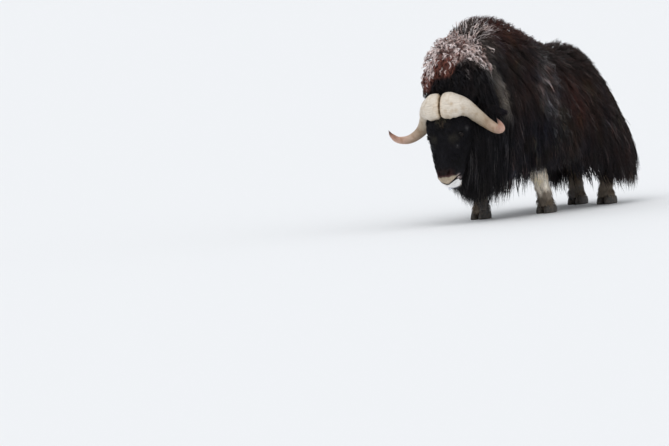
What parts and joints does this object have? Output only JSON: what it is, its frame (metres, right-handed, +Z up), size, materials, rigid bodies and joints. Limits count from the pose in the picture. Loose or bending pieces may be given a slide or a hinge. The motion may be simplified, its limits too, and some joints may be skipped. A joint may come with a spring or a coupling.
{
  "type": "muskox",
  "caption": "Life-size still model of a standing bull muskox: low head, broad horn boss, down-swept horns, humped back and long skirted coat.",
  "frame": {"origin": "middle of the base of the bounding box, on the floor under the belly", "axes": "+Y back along the body from head to rump, +X towards the animal's left side, +Z up"},
  "size_m": [0.827, 2.0144, 1.3403],
  "materials": {
    "coat": "long near-black brown hair with rust tints",
    "crown_mane": "curly rust-brown mane with pale tips",
    "face": "short black-brown hair, pale lips",
    "leg": "short pale to brown leg hair",
    "horn": "cream horn, ridged at the boss, darker at the tip",
    "hoof": "dark worn hoof",
    "eye": "wet dark brown eye"
  },
  "bodies": {
    "root": {"trunk": "coat", "neck": "coat", "beard": "coat", "tail": "coat", "crown": "crown_mane", "head": "face", "ear_left": "coat", "ear_right": "coat", "eye_left": "eye", "eye_right": "eye", "horn_left": "horn", "horn_right": "horn", "leg_fore_left": "leg", "leg_fore_right": "leg", "leg_hind_left": "leg", "leg_hind_right": "leg", "hoof_fore_left_outer": "hoof", "hoof_fore_left_inner": "hoof", "hoof_fore_right_outer": "hoof", "hoof_fore_right_inner": "hoof", "hoof_hind_left_outer": "hoof", "hoof_hind_left_inner": "hoof", "hoof_hind_right_outer": "hoof", "hoof_hind_right_inner": "hoof"}
  },
  "joints": []
}
